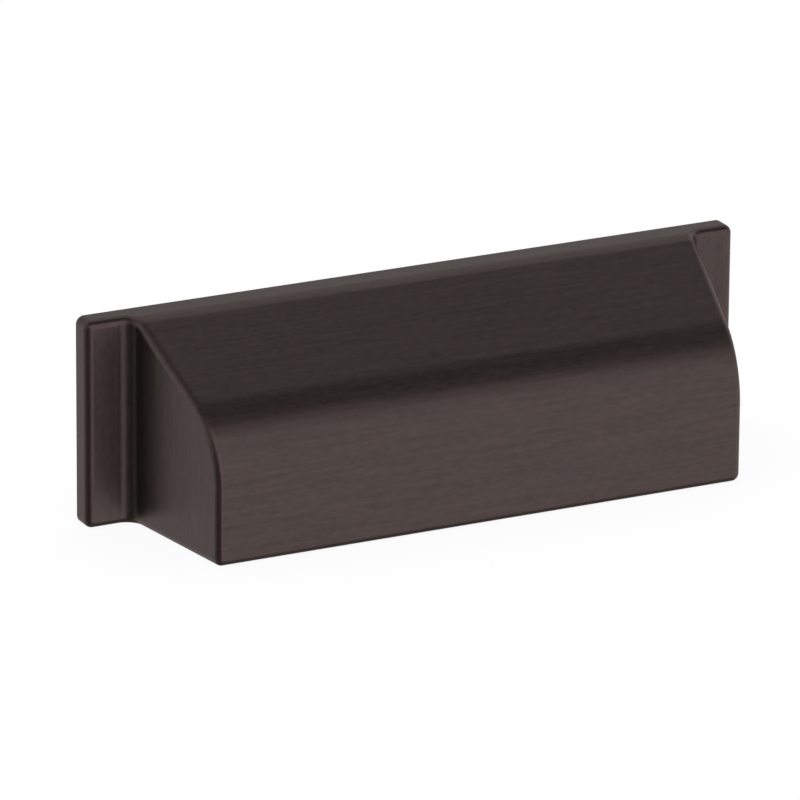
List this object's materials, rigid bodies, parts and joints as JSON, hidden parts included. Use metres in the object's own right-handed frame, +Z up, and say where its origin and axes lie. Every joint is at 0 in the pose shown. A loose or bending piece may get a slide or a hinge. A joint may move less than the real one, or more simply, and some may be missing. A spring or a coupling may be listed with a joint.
{
  "type": "cup pull",
  "caption": "Rectangular drawer cup pull, cast in one piece: a flanged back plate with a hollow hood that slopes down to an upright front.",
  "frame": {"origin": "on the mounting plane, midway between the two screw bores, at half the plate's height", "axes": "+X along the pull to the right as one faces the drawer, +Y into the drawer front, +Z up; the hood reaches out to -Y"},
  "size_m": [0.127, 0.031, 0.038],
  "materials": {
    "dark_bronze": "satin dark bronze, brushed in fine straight lines"
  },
  "bodies": {
    "root": {"cup_pull": "dark_bronze"}
  },
  "joints": []
}
